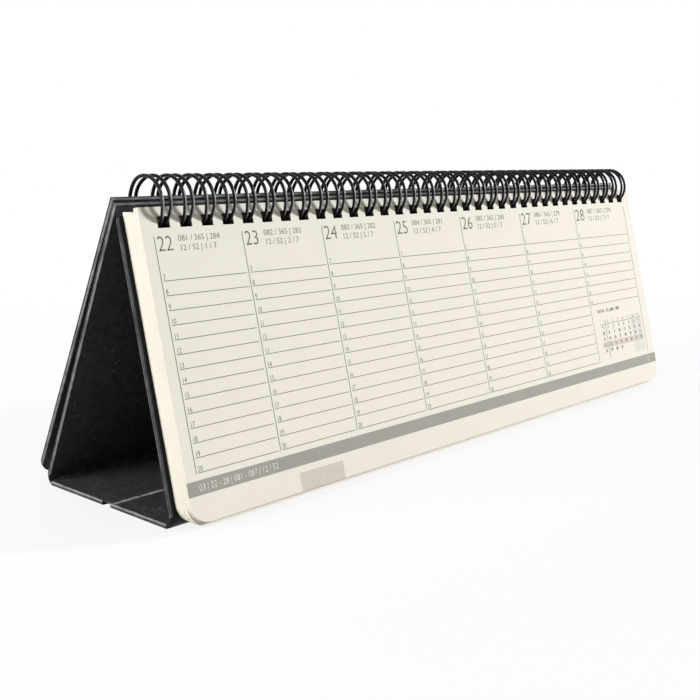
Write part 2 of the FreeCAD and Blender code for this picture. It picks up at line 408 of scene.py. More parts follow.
def cells(tree, vector, scale, feature="F1"):
    """Distance in a cell pattern over a vector."""
    node = tree.nodes.new("ShaderNodeTexVoronoi")
    node.feature = feature
    node.inputs["Scale"].default_value = scale
    tree.links.new(vector, node.inputs["Vector"])
    return node.outputs["Distance"]


def mix_colours(tree, factor, first, second):
    """Colour between two colours or colour sockets."""
    node = tree.nodes.new("ShaderNodeMix")
    node.data_type = "RGBA"
    colour_inputs = [socket for socket in node.inputs if socket.type == "RGBA"]
    for socket, value in zip(colour_inputs, (first, second)):
        feed(tree, socket, value if isinstance(value, bpy.types.NodeSocket) else (*value, 1.0))
    tree.links.new(factor, node.inputs["Factor"])
    return next(socket for socket in node.outputs if socket.type == "RGBA")


GRAIN_SCALE = 1150.0


def grain_group():
    """Pressed grain of the leatherette: height of the pebbles and the creases between them."""
    tree, enter, leave = new_group("Pressed grain", ("Height", "Crease"))
    vector = enter["Vector"]
    pebble = cells(tree, vector, GRAIN_SCALE, "SMOOTH_F1")
    crease = ramp(tree, cells(tree, vector, GRAIN_SCALE, "DISTANCE_TO_EDGE"), 0.0, 0.16)
    fine = noise(tree, vector, 5200.0, 3.0, 0.6)
    broad = noise(tree, vector, 160.0, 2.0)
    dome = math_node(tree, "SUBTRACT", 1.0, pebble)
    pressed = math_node(tree, "MULTIPLY", dome, crease)
    height = math_node(tree, "MULTIPLY_ADD", fine, 0.22, pressed)
    height = math_node(tree, "MULTIPLY_ADD", broad, 0.35, height)
    tree.links.new(height, leave["Height"])
    tree.links.new(math_node(tree, "SUBTRACT", 1.0, crease), leave["Crease"])
    return tree


def edge_group():
    """Worn edges of a plate with a painted highlight on them, and its borders along folds, from the plate's
    own flat coordinates.

    Foot and Head are 1 where the plate's lower or upper border runs along a fold. Face and Back are
    the flat Z of the lined face and of the face behind it.
    """
    tree, sockets, leave = new_group(
        "Rubbed border", ("Mask", "Fold"),
        Width=0.3, Height=0.1, Foot=0.0, Head=0.0, Face=0.0, Back=0.0, Reach=0.001, Border=0.001,
    )
    across, upward, depth = split_vector(tree, sockets["Vector"])
    below = math_node(tree, "SUBTRACT", sockets["Height"], upward)
    aside = math_node(tree, "MINIMUM", across, math_node(tree, "SUBTRACT", sockets["Width"], across))
    free = math_node(
        tree, "MINIMUM",
        math_node(tree, "ADD", upward, sockets["Foot"]),
        math_node(tree, "ADD", below, sockets["Head"]),
    )
    nearest = math_node(tree, "MINIMUM", aside, free)
    uneven = noise(tree, sockets["Vector"], 420.0, 4.0, 0.65)
    reach = math_node(tree, "MULTIPLY", sockets["Reach"], math_node(tree, "MULTIPLY_ADD", uneven, 1.2, 0.4))
    # Wear and a painted highlight near the edge of the lined face, weaker near the face behind it; the mask
    # below holds both.
    rub_and_highlight = []
    for face in ("Face", "Back"):
        away = math_node(tree, "SUBTRACT", depth, sockets[face])
        squares = math_node(tree, "MULTIPLY_ADD", nearest, nearest, math_node(tree, "MULTIPLY", away, away))
        distance = math_node(tree, "SQRT", squares)
        rub_and_highlight.append(math_node(tree, "SUBTRACT", 1.0, ramp(tree, distance, 0.0, reach)))
    patchy = ramp(tree, noise(tree, sockets["Vector"], 95.0, 3.0), 0.1, 0.6)
    worn = math_node(tree, "MAXIMUM", rub_and_highlight[0], math_node(tree, "MULTIPLY", rub_and_highlight[1], 0.3))
    tree.links.new(math_node(tree, "MULTIPLY", worn, patchy), leave["Mask"])
    folded = math_node(
        tree, "MINIMUM",
        math_node(tree, "SUBTRACT", math_node(tree, "ADD", upward, 1.0), sockets["Foot"]),
        math_node(tree, "SUBTRACT", math_node(tree, "ADD", below, 1.0), sockets["Head"]),
    )
    lined = math_node(tree, "ABSOLUTE", math_node(tree, "SUBTRACT", depth, sockets["Face"]))
    beside = math_node(tree, "MAXIMUM", folded, lined)
    tree.links.new(math_node(tree, "LESS_THAN", beside, sockets["Border"]), leave["Fold"])
    return tree


def fold_group():
    """Whitened, broken line along a fold that runs along X and stops at its ends."""
    tree, enter, leave = new_group("Worn fold", ("Mask",), Y=0.0, Z=0.0, Reach=0.0004, End=0.1)
    place = split_vector(tree, enter["Vector"])
    aside = [math_node(tree, "SUBTRACT", place[axis], enter[axis]) for axis in ("Y", "Z")]
    squares = [math_node(tree, "MULTIPLY", value, value) for value in aside]
    distance = math_node(tree, "SQRT", math_node(tree, "ADD", *squares))
    uneven = noise(tree, enter["Vector"], 900.0, 4.0, 0.7)
    reach = math_node(tree, "MULTIPLY", enter["Reach"], math_node(tree, "MULTIPLY", uneven, 2.0))
    line = math_node(tree, "SUBTRACT", 1.0, ramp(tree, distance, 0.0, reach))
    broken = ramp(tree, noise(tree, enter["Vector"], 480.0, 4.0, 0.7), 0.38, 0.60)
    along = math_node(tree, "ABSOLUTE", place["X"])
    inside = math_node(tree, "MULTIPLY", broken, math_node(tree, "LESS_THAN", along, enter["End"]))
    tree.links.new(math_node(tree, "MULTIPLY", line, inside), leave["Mask"])
    return tree


def fibre_group():
    """Fibres of paper and board: a value about one half and a height."""
    tree, enter, leave = new_group("Fibres", ("Tone", "Height"))
    vector = enter["Vector"]
    long_fibres = tree.nodes.new("ShaderNodeMapping")
    long_fibres.inputs["Scale"].default_value = (0.35, 1.0, 1.0)
    tree.links.new(vector, long_fibres.inputs["Vector"])
    fine = noise(tree, long_fibres.outputs["Vector"], 2600.0, 4.0, 0.6)
    cloud = noise(tree, vector, 120.0, 3.0)
    tone = math_node(tree, "MULTIPLY_ADD", cloud, 0.5, math_node(tree, "MULTIPLY", fine, 0.5))
    tree.links.new(tone, leave["Tone"])
    tree.links.new(fine, leave["Height"])
    return tree


def lint_group():
    """Sparse pale specks of lint and rubbing on black surfaces."""
    tree, enter, leave = new_group("Lint", ("Mask",), Amount=0.3)
    vector = enter["Vector"]
    dot = cells(tree, vector, 620.0)
    size = math_node(tree, "MULTIPLY", enter["Amount"], noise(tree, vector, 210.0, 2.0))
    speck = math_node(tree, "SUBTRACT", 1.0, ramp(tree, dot, math_node(tree, "MULTIPLY", size, 0.4), size))
    where = ramp(tree, noise(tree, vector, 60.0, 3.0), 0.45, 0.65)
    tree.links.new(math_node(tree, "MULTIPLY", speck, where), leave["Mask"])
    return tree


GROUPS = {}


def group_node(tree, maker, vector, **values):
    """Place a shared group over a vector, building it the first time; returns its outputs."""
    if maker not in GROUPS:
        GROUPS[maker] = maker()
    node = tree.nodes.new("ShaderNodeGroup")
    node.node_tree = GROUPS[maker]
    tree.links.new(vector, node.inputs["Vector"])
    for label, value in values.items():
        node.inputs[label].default_value = value
    return node.outputs


def new_material(name, roughness, metallic=0.0):
    """Material with a Principled shader; returns it, its tree, the shader and the Object coordinates."""
    material = bpy.data.materials.new(name)
    material.use_nodes = True
    tree = material.node_tree
    shader = tree.nodes["Principled BSDF"]
    shader.inputs["Roughness"].default_value = roughness
    shader.inputs["Metallic"].default_value = metallic
    where = tree.nodes.new("ShaderNodeTexCoord").outputs["Object"]
    return material, tree, shader, where


def bump(tree, shader, height, distance, strength=1.0):
    """Send a height to the shader's normal."""
    node = tree.nodes.new("ShaderNodeBump")
    node.inputs["Distance"].default_value = distance
    node.inputs["Strength"].default_value = strength
    tree.links.new(height, node.inputs["Height"])
    tree.links.new(node.outputs["Normal"], shader.inputs["Normal"])


def flat_vector(tree, where, matrix):
    """Object coordinates turned into a plate's own flat coordinates."""
    node = tree.nodes.new("ShaderNodeMapping")
    node.vector_type = "POINT"
    back = matrix.inverted()
    node.inputs["Rotation"].default_value = back.to_euler()
    node.inputs["Location"].default_value = back.to_translation()
    tree.links.new(where, node.inputs["Vector"])
    return node.outputs["Vector"]


def paper_material(finish):
    """Uncoated cream paper, with painted shade where it is only seen through the punched holes."""
    side_margin = 0.005
    row_drop = 0.0065
    row_reach = 0.0042
    sheet_back = -0.00045
    material, tree, shader, where = new_material("cream_paper", 0.82)
    fibre = group_node(tree, fibre_group, where)
    base = mix_colours(tree, fibre["Tone"], shaded(finish.paper, 0.955), shaded(finish.paper, 1.03))
    matrix, wide, tall = plate_frame("front_leaf")
    across, upward, depth = split_vector(tree, flat_vector(tree, where, matrix))
    inside = math_node(tree, "COMPARE", across, wide / 2, wide / 2 - side_margin)
    level = math_node(tree, "COMPARE", upward, tall - row_drop, row_reach)
    behind = math_node(tree, "LESS_THAN", depth, sheet_back)
    # Painted shade on the paper seen through the punched holes, behind the open sheet.
    hole_shade_mask = math_node(tree, "MULTIPLY", math_node(tree, "MULTIPLY", inside, level), behind)
    tree.links.new(mix_colours(tree, hole_shade_mask, base, finish.punched), shader.inputs["Base Color"])
    shader.inputs["Specular IOR Level"].default_value = 0.25
    bump(tree, shader, fibre["Height"], 0.00003, 0.35)
    return material


def ink_material(name, ink, sheen=0.25):
    """Printed grey with the paper's fibres showing through; also the painted shade on the walls of the
    punched holes.
    """
    material, tree, shader, where = new_material(name, 0.75)
    fibre = group_node(tree, fibre_group, where)
    base = mix_colours(tree, fibre["Tone"], shaded(ink, 0.88), shaded(ink, 1.14))
    tree.links.new(base, shader.inputs["Base Color"])
    shader.inputs["Specular IOR Level"].default_value = sheen
    return material


def worn_folds(tree, where, base, folds, worn):
    """Base colour with a whitened line along each fold, given as Y, Z, reach and strength."""
    _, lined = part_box("front_base_lining")
    for y, z, reach, strength in folds:
        fold = group_node(tree, fold_group, where, Y=y, Z=z, Reach=reach, End=lined.x)
        base = mix_colours(tree, math_node(tree, "MULTIPLY", fold["Mask"], strength), base, worn)
    return base


def leatherette_material(finish, name, plate=None, folds=()):
    """Grained black leatherette, with wear and a painted highlight along a plate's edges where its flat frame
    is given.

    Along a fold the plate's border is covered by the lining.
    """
    material, tree, shader, where = new_material(name, 0.5)
    grain = group_node(tree, grain_group, where)
    lint = group_node(tree, lint_group, where, Amount=0.22)
    base = mix_colours(tree, grain["Crease"], shaded(finish.leatherette, 1.7), finish.leatherette)
    base = mix_colours(tree, math_node(tree, "MULTIPLY", lint["Mask"], 0.35), base, finish.wear)
    if plate is not None:
        matrix, borders = plate
        flat = flat_vector(tree, where, matrix)
        edge = group_node(tree, edge_group, flat, Reach=0.0009, Border=0.00095, **borders)
        base = mix_colours(tree, edge["Fold"], base, shaded(finish.lining, 1.3))
        # Worn edges of the panel, with a painted highlight along its rims.
        base = mix_colours(tree, edge["Mask"], base, finish.wear)
    base = worn_folds(tree, where, base, folds, finish.fold)
    tree.links.new(base, shader.inputs["Base Color"])
    rough = math_node(tree, "MULTIPLY_ADD", grain["Crease"], 0.2, 0.40)
    tree.links.new(rough, shader.inputs["Roughness"])
    shader.inputs["Specular IOR Level"].default_value = 0.07
    bump(tree, shader, grain["Height"], 0.00012, 0.55)
    return material


def lining_material(finish, folds):
    """Smooth black lining with a little lint."""
    material, tree, shader, where = new_material("black_lining", 0.62)
    fibre = group_node(tree, fibre_group, where)
    lint = group_node(tree, lint_group, where, Amount=0.48)
    mottled = ramp(tree, noise(tree, where, 420.0, 5.0, 0.75), 0.25, 0.75)
    fibrous = math_node(tree, "MULTIPLY", fibre["Tone"], 0.45)
    tone = math_node(tree, "MULTIPLY_ADD", mottled, 0.55, fibrous)
    base = mix_colours(tree, tone, shaded(finish.lining, 0.35), shaded(finish.lining, 2.1))
    base = mix_colours(tree, math_node(tree, "MULTIPLY", lint["Mask"], 0.6), base, finish.wear)
    base = worn_folds(tree, where, base, folds, finish.fold)
    tree.links.new(base, shader.inputs["Base Color"])
    shader.inputs["Specular IOR Level"].default_value = 0.18
    bump(tree, shader, fibre["Height"], 0.00005, 0.4)
    return material


def board_material(finish):
    """Grey board seen in the punched holes."""
    material, tree, shader, where = new_material("grey_board", 0.9)
    fibre = group_node(tree, fibre_group, where)
    base = mix_colours(tree, fibre["Tone"], shaded(finish.board, 0.75), finish.board)
    tree.links.new(base, shader.inputs["Base Color"])
    bump(tree, shader, fibre["Height"], 0.00008, 0.6)
    return material


def wire_material(finish):
    """Gloss black coating, a little uneven, with a painted highlight along the outer side of the loops."""
    material, tree, shader, where = new_material("coated_wire", 0.25)
    uneven = noise(tree, where, 900.0, 3.0)
    base = mix_colours(tree, uneven, finish.wire, shaded(finish.wire, 2.2))
    low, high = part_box("twin_loop_wire")
    middle = (low + high) / 2
    radius = (high.z - low.z) / 2 + settings_for("wire").coating
    place = split_vector(tree, where)
    aside = math_node(tree, "SUBTRACT", place["Y"], middle.y)
    above = math_node(tree, "SUBTRACT", place["Z"], middle.z)
    squares = math_node(tree, "MULTIPLY_ADD", aside, aside, math_node(tree, "MULTIPLY", above, above))
    # Painted highlight: a lighter line along the outermost side of the loops' upright legs.
    outside = ramp(tree, math_node(tree, "SQRT", squares), radius - 0.00011, radius - 0.00003)
    upright = ramp(tree, math_node(tree, "ABSOLUTE", aside), radius * 0.80, radius * 0.97)
    rub_and_highlight = math_node(tree, "MULTIPLY", outside, upright)
    rub_and_highlight = math_node(tree, "MULTIPLY", rub_and_highlight, ramp(tree, uneven, 0.2, 0.5))
    tree.links.new(mix_colours(tree, rub_and_highlight, base, finish.wire_wear), shader.inputs["Base Color"])
    tree.links.new(math_node(tree, "MULTIPLY_ADD", uneven, 0.12, 0.22), shader.inputs["Roughness"])
    shader.inputs["Specular IOR Level"].default_value = 0.12
    bump(tree, shader, uneven, 0.00002, 0.3)
    return material


def fold_lines():
    """Y, Z, reach and strength of the whitened lines inside the case."""
    crease_inset = 0.0009
    _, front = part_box("front_base_leatherette")
    rear = corner_ends("rear_panel", "rear_base", 1)[4]
    return (front.y - crease_inset, front.z, 0.0014, 1.0), (rear.y, rear.z, 0.0007, 0.22)


# Printed finishes and the settings that hold their colours
INKS = {
    "grey_ink": "ink", "light_ink": "light_ink", "band_grey": "band", "tab_grey": "tab",
    "weekend_tint": "tint", "bare_figures": "paper",
}


def material_named(name):
    """One of the diary's finishes, built the first time it is asked for."""
    found = bpy.data.materials.get(name)
    if found is not None:
        return found
    finish = settings_for("finish")
    makers = {
        "cream_paper": lambda: paper_material(finish),
        "punched_edge": lambda: ink_material(name, finish.punched, 0.05),
        "black_lining": lambda: lining_material(finish, fold_lines()),
        "grey_board": lambda: board_material(finish),
        "coated_wire": lambda: wire_material(finish),
        "leatherette_skin": lambda: leatherette_material(finish, name),
    }
    if name in INKS:
        return ink_material(name, getattr(finish, INKS[name]))
    return makers[name]()


# Print


def ink_strip(left, low, width, height):
    """Rectangle of ink, laid flat from its lower left corner."""
    bpy.ops.object.select_all(action="DESELECT")
    bpy.ops.mesh.primitive_plane_add(size=1.0, location=(left + width / 2, low + height / 2, 0))
    obj = bpy.context.object
    obj.scale = (width, height, 1)
    apply_place(obj)
    return obj


def ink_text(body, height, place, align="LEFT", pitch=None, condense=0.82, weight=-0.008):
    """Figures laid flat, with their foot at a place; lines follow each other by the pitch."""
    bpy.ops.object.select_all(action="DESELECT")
    bpy.ops.object.text_add(location=(0, 0, 0))
    obj = bpy.context.object
    text = obj.data
    text.body = body
    text.size = height / DIGIT_HEIGHT
    text.align_x = align
    text.resolution_u = 3
    text.offset = weight * text.size
    if pitch is not None:
        text.space_line = pitch / text.size
    select_only(obj)
    bpy.ops.object.convert(target="MESH")
    obj = bpy.context.object
    obj.scale = (condense, 1, 1)
    obj.location = (place[0], place[1], 0)
    apply_place(obj)
    return obj


def finish_print(page, name, pieces, material, lift=0):
    """Join flat ink, give it the film's thickness, and lay it on its sheet."""
    film = settings_for("layout").film
    obj = joined(page + "_" + name, pieces)
    merge_doubles(obj, film / 20)
    apply_modifier(obj, "SOLIDIFY", thickness=film, offset=1.0)
    matrix, _, _ = plate_frame(page)
    obj.data.transform(matrix @ Matrix.Translation((0, 0, film * (0.25 + lift))))
    wear_material(obj, material_named(material))
    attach(obj, WEEKS[page]["body"])
    return obj


def column_edges(page):
    """X of the column rules of a printed sheet."""
    layout = settings_for("layout")
    _, width, _ = plate_frame(page)
    span = width - layout.column_left - layout.column_right
    first = span / WEEK_DAYS - layout.column_step * (WEEK_DAYS - 1) / 2
    edges = [layout.column_left]
    for index in range(WEEK_DAYS):
        edges.append(edges[-1] + first + layout.column_step * index)
    return edges


def hour_count(day):
    """Hour rules of a day's column: fewer on the last day, over the month table."""
    last = SUNDAY_LAST_HOUR if day == WEEK_DAYS - 1 else LAST_HOUR
    return last - FIRST_HOUR + 1


def first_hour_height():
    """Height of the first hour's rule on the sheet."""
    layout = settings_for("layout")
    return layout.column_bottom + layout.hour_pitch * (LAST_HOUR - FIRST_HOUR)


def day_number(page, day):
    """Number of a day in its month."""
    return (WEEKS[page]["first_day"] + day - 1) % MONTH_DAYS + 1


class DiaryPrintOperator:
    """Base of the operators that print one sheet."""

    page: StringProperty(name="Sheet", description="Sheet that is printed", default="front_leaf")


class DIARY_OT_week_rules(DiaryPrintOperator, bpy.types.Operator):
    """Draw the column rules and hour rules of a week"""

    bl_idname = "diary.week_rules"
    bl_label = "Week rules"

    def execute(self, context):
        layout = context.scene.diary.layout
        edges = column_edges(self.page)
        tall = layout.column_top - layout.column_bottom
        strips = [
            ink_strip(edge - layout.column_rule / 2, layout.column_bottom, layout.column_rule, tall)
            for edge in edges
        ]
        for day in range(WEEK_DAYS):
            left = edges[day] + layout.hour_inset
            wide = edges[day + 1] - layout.hour_inset - left
            rule = ink_strip(left, first_hour_height(), wide, layout.hour_rule)
            apply_modifier(
                rule, "ARRAY", count=hour_count(day), use_relative_offset=False, use_constant_offset=True,
                constant_offset_displace=(0, -layout.hour_pitch, 0),
            )
            strips.append(rule)
        finish_print(self.page, "rules", strips, "grey_ink")
        return {"FINISHED"}


class DIARY_OT_week_figures(DiaryPrintOperator, bpy.types.Operator):
    """Print the day numbers, the small figures beside them and the hours"""

    bl_idname = "diary.week_figures"
    bl_label = "Week figures"

    def execute(self, context):
        layout = context.scene.diary.layout
        week = WEEKS[self.page]
        edges = column_edges(self.page)
        dates = []
        captions = []
        hours = []
        for day in range(WEEK_DAYS):
            left = edges[day] + layout.hour_inset
            wider = (edges[day + 1] - edges[day]) / (edges[1] - edges[0])
            taller = 0.58 + 0.42 * wider
            high = layout.date_height * taller
            dates.append(ink_text(
                str(day_number(self.page, day)), high, (left, layout.column_top - high),
                condense=0.90 * wider / taller,
            ))
            count = week["day_of_year"] + day
            caption = "%03d / %d | %03d\n%d / %d | %d / %d" % (
                count, YEAR_DAYS, YEAR_DAYS - count, week["week"], YEAR_WEEKS, day + 1, WEEK_DAYS,
            )
            high = layout.caption_height * taller
            captions.append(ink_text(
                caption, high, (left + layout.date_height * 1.75 * wider, layout.column_top - high),
                pitch=layout.caption_pitch * taller, condense=wider / taller, weight=0.0,
            ))
            numbers = "\n".join(str(FIRST_HOUR + hour) for hour in range(hour_count(day)))
            foot = first_hour_height() + layout.hour_rule * 2
            hours.append(ink_text(
                numbers, layout.hour_height, (left, foot), pitch=layout.hour_pitch, weight=-0.004
            ))
        finish_print(self.page, "dates", dates, "grey_ink")
        finish_print(self.page, "captions", captions, "light_ink")
        finish_print(self.page, "hours", hours, "grey_ink")
        return {"FINISHED"}


class DIARY_OT_week_band(DiaryPrintOperator, bpy.types.Operator):
    """Print the grey band, its figures and the index tab"""

    bl_idname = "diary.week_band"
    bl_label = "Week band"

    def execute(self, context):
        layout = context.scene.diary.layout
        week = WEEKS[self.page]
        _, width, _ = plate_frame(self.page)
        tall = layout.band_high - layout.band_low
        finish_print(self.page, "band", [ink_strip(0, layout.band_low, width, tall)], "band_grey")
        foot = layout.band_low + (tall - layout.band_height) / 2
        first = day_number(self.page, 0)
        last = day_number(self.page, WEEK_DAYS - 1)
        numbers = "%02d | %d - %d | %03d - %03d | %d / %d" % (
            MONTH, first, last, week["day_of_year"], week["day_of_year"] + WEEK_DAYS - 1,
            week["week"], YEAR_WEEKS,
        )
        left = layout.column_left
        right = width - layout.column_right
        tab = ink_strip(layout.tab_left, 0, layout.tab_width, layout.tab_height)
        finish_print(self.page, "tab", [tab], "tab_grey")
        tab_middle = layout.tab_left + layout.tab_width / 2
        figures = [
            ink_text(numbers, layout.band_height, (left, foot)),
            ink_text(str(week["week"]), layout.band_height, (right, foot), align="RIGHT"),
            ink_text(
                str(MONTH), layout.band_height * 0.85, (tab_middle, layout.tab_height * 0.36), align="CENTER"
            ),
        ]
        finish_print(self.page, "band_figures", figures, "bare_figures", lift=1)
        return {"FINISHED"}


class DIARY_OT_month_table(DiaryPrintOperator, bpy.types.Operator):
    """Print the small month table under the last day"""

    bl_idname = "diary.month_table"
    bl_label = "Month table"

    def execute(self, context):
        layout = context.scene.diary.layout
        week = WEEKS[self.page]
        edges = column_edges(self.page)
        rows = math.ceil(MONTH_DAYS / WEEK_DAYS)
        step = layout.month_width / (WEEK_DAYS + 1)
        left = edges[-1] - layout.month_gap - layout.month_width
        foot = layout.column_bottom + layout.month_foot
        top = foot + layout.month_row * rows
        head = layout.month_row * 0.73
        tail = layout.month_foot * 0.8
        height = layout.month_height
        figures = []
        weeks = "\n".join(str(MONTH_FIRST_WEEK + row) for row in range(rows))
        columns = [(0, weeks, "")]
        for day in range(WEEK_DAYS):
            days = [1 + day + WEEK_DAYS * row for row in range(rows)]
            body = "\n".join(str(number) for number in days if number <= MONTH_DAYS)
            columns.append((day + 1, body, str(day + 1)))
        for index, body, title in columns:
            middle = left + step * (index + 0.5)
            figures.append(ink_text(
                body, height, (middle, top - layout.month_row * 0.75), align="CENTER",
                pitch=layout.month_row, weight=0.018,
            ))
            if title:
                place = (middle, top + layout.month_row * 0.2)
                figures.append(ink_text(title, height, place, align="CENTER"))
        past = week["day_of_year"] - week["first_day"]
        month = "%02d | 01 - %d | %03d - %03d" % (MONTH, MONTH_DAYS, past + 1, past + MONTH_DAYS)
        place = (left, top + layout.month_row * 2.1)
        figures.append(ink_text(month, height, place, condense=1.0, weight=0.006))
        rule = layout.hour_rule * 0.8
        figures.append(ink_strip(left, top, layout.month_width, rule))
        figures.append(ink_strip(left + step, foot - tail, rule, top - foot + tail + head))
        finish_print(self.page, "month", figures, "grey_ink", lift=2)
        weekend = ink_strip(left + step * 6, foot - tail, step * 2, top - foot + tail + head)
        finish_print(self.page, "weekend", [weekend], "weekend_tint")
        row = week["week"] - MONTH_FIRST_WEEK
        current = ink_strip(left, top - layout.month_row * (row + 1), layout.month_width, layout.month_row)
        finish_print(self.page, "current_row", [current], "tab_grey", lift=1)
        return {"FINISHED"}


# Sheets, case and wire


def loop_centre(x):
    """X of the loop nearest to a place."""
    settings = settings_for("wire")
    middle = (settings.loops - 1) / 2
    index = min(max(round(x / settings.pitch + middle), 0), settings.loops - 1)
    return (index - middle) * settings.pitch


def smooth_share(value, low, high):
    """Share that runs smoothly from 0 to 1 between two limits."""
    way = min(max((value - low) / (high - low), 0.0), 1.0)
    return way * way * (3 - 2 * way)


def gather_legs(wire):
    """Bring the two legs of each loop together where they enter the sheets.

    A leg is shifted on its way to the sheets; inside them the loop's rounded tip is made narrower.
    """
    settings = settings_for("wire")
    low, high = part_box("twin_loop_wire")
    middle = (low + high) / 2
    tip_reach = 0.0003
    points = [vertex.co for vertex in wire.data.vertices]
    tips = [point for point in points if abs(point.x - loop_centre(point.x)) < tip_reach]
    last = max(math.atan2(middle.z - point.z, middle.y - point.y) for point in tips) + math.radians(1.0)
    tip_from = settings.gather_to + 0.1
    tip_to = settings.gather_to + 0.4
    for vertex in wire.data.vertices:
        angle = math.atan2(middle.z - vertex.co.z, middle.y - vertex.co.y)
        if settings.gather_from < angle < last:
            centre = loop_centre(vertex.co.x)
            aside = vertex.co.x - centre
            shift = settings.gather * smooth_share(angle, settings.gather_from, settings.gather_to)
            shifted = aside - math.copysign(shift, aside)
            scaled = aside * (1 - shift / settings.leg_reach)
            inside = smooth_share(angle, tip_from, tip_to)
            vertex.co.x = centre + shifted + (scaled - shifted) * inside


def darken_holes(block, wide, tall):
    """Paint shade on the walls of the punched holes, on sheets that still lie flat."""
    block.data.materials.append(material_named("punched_edge"))
    margin = 0.0005
    row_depth = 0.010
    for face in block.data.polygons:
        inside = margin < face.center.x < wide - margin and tall - row_depth < face.center.y < tall - margin
        if inside and abs(face.normal.z) < 0.5:
            # Hole walls get the painted shade.
            face.material_index = 1


class DIARY_OT_sheet_block(bpy.types.Operator):
    """Show each bundle of the block as its single sheets"""

    bl_idname = "diary.sheet_block"
    bl_label = "Sheet block"

    def execute(self, context):
        settings = context.scene.diary.sheets
        scatter = random.Random(settings.seed)
        for node in BUNDLES:
            matrix, wide, tall = plate_frame(node)
            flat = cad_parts[node].data.copy()
            flat.transform(matrix.inverted())
            thick = -min(vertex.co.z for vertex in flat.vertices)
            step = thick / settings.per_bundle
            shrink = Matrix.Diagonal((1, 1, settings.fill / settings.per_bundle, 1))
            sheets = []
            for index in range(settings.per_bundle):
                mesh = flat.copy()
                aside = scatter.uniform(-1, 1) * settings.scatter
                along = scatter.uniform(-1, 1) * settings.scatter
                mesh.transform(Matrix.Translation((aside, along, -index * step)) @ shrink)
                sheets.append(new_object("sheet", mesh))
            block = joined("sheets_" + node[-2:], sheets)
            bpy.ops.mesh.customdata_custom_splitnormals_clear()
            merge_doubles(block, step / 50)
            select_only(block)
            bpy.ops.object.shade_smooth_by_angle(angle=math.radians(30))
            wear_material(block, material_named("cream_paper"))
            darken_holes(block, wide, tall)
            block.data.transform(matrix)
            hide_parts(node)
            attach(block, "easel_front")
        wear_material(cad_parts["front_leaf"], material_named("cream_paper"))
        return {"FINISHED"}


class DIARY_OT_case_finish(bpy.types.Operator):
    """Finish the panels: grained leatherette, black lining and grey board"""

    bl_idname = "diary.case_finish"
    bl_label = "Case finish"

    def execute(self, context):
        finish = context.scene.diary.finish
        low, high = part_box("front_base_leatherette")
        thick = high.z - low.z
        for panel in PANELS:
            node = panel + "_leatherette"
            folds = ()
            if panel.endswith("base"):
                low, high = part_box(node)
                matrix, wide, tall = Matrix.Translation(low), high.x - low.x, high.y - low.y
                borders = {"Foot": 1.0, "Head": 1.0, "Face": thick, "Back": 0.0}
                folds = fold_lines()
            else:
                matrix, wide, tall = plate_frame(node)
                face, back = (-thick, 0.0) if panel == "front_panel" else (0.0, -thick)
                foot = 0.0 if panel == "cover" else 1.0
                borders = {"Foot": foot, "Head": 0.0, "Face": face, "Back": back}
            plate = matrix, dict(borders, Width=wide, Height=tall)
            material = leatherette_material(finish, "leatherette_" + panel, plate, folds)
            wear_material(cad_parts[node], material)
            wear_material(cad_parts[panel + "_lining"], material_named("black_lining"))
            wear_material(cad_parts[panel + "_board"], material_named("grey_board"))
        return {"FINISHED"}


class DIARY_OT_binding_wire(bpy.types.Operator):
    """Draw the binding wire as one smooth coated wire"""

    bl_idname = "diary.binding_wire"
    bl_label = "Binding wire"

    def execute(self, context):
        wire = new_object("binding_wire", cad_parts["twin_loop_wire"].data.copy())
        select_only(wire)
        bpy.ops.mesh.customdata_custom_splitnormals_clear()
        settings = context.scene.diary.wire
        merge_distance = 0.000002
        merge_doubles(wire, merge_distance)
        apply_modifier(wire, "DECIMATE", ratio=settings.detail, use_collapse_triangulate=True)
        gather_legs(wire)
        apply_modifier(wire, "DISPLACE", strength=settings.coating, mid_level=0.0)
        select_only(wire)
        bpy.ops.object.shade_smooth()
        wear_material(wire, material_named("coated_wire"))
        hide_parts("twin_loop_wire")
        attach(wire, "easel_front")
        return {"FINISHED"}


def corner_ends(panel, base, side):
    """Outer and inner ends of a corner's skin at the base and at the panel, and its inner fold.

    Side is -1 at the front of the case and 1 at its back.
    """
    base_points = [vertex.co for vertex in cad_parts[base + "_leatherette"].data.vertices]
    panel_points = [vertex.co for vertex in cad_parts[panel + "_leatherette"].data.vertices]
    reach = max(point.y * side for point in base_points)
    end_depth = 0.00002
    base_end = [point for point in base_points if reach - point.y * side < end_depth]
    toe = min(base_end, key=lambda point: point.z)
    toe_inner = max(base_end, key=lambda point: point.z)
    foot = max(panel_points, key=lambda point: point.y * side)
    foot_inner = min(panel_points, key=lambda point: point.z)
    rise = (toe_inner.z - toe.z) / (foot.z - toe.z)
    reach = toe.y + (foot.y - toe.y) * rise + side * settings_for("folds").inner_reach
    corner = Vector((0, reach, toe_inner.z))
    return [Vector((0, point.y, point.z)) for point in (toe, foot, toe_inner, foot_inner, corner)]


def bow_point(bow, share):
    """Point of a bow at a share of its way: bent at its corner where it has one, else shallowly curved."""
    if "corner" not in bow:
        return bow["begin"].lerp(bow["end"], share) + bow["away"] * bow["bulge"] * 4 * share * (1 - share)
    if share < 0.5:
        return bow["begin"].lerp(bow["corner"], share * 2)
    return bow["corner"].lerp(bow["end"], share * 2 - 1)


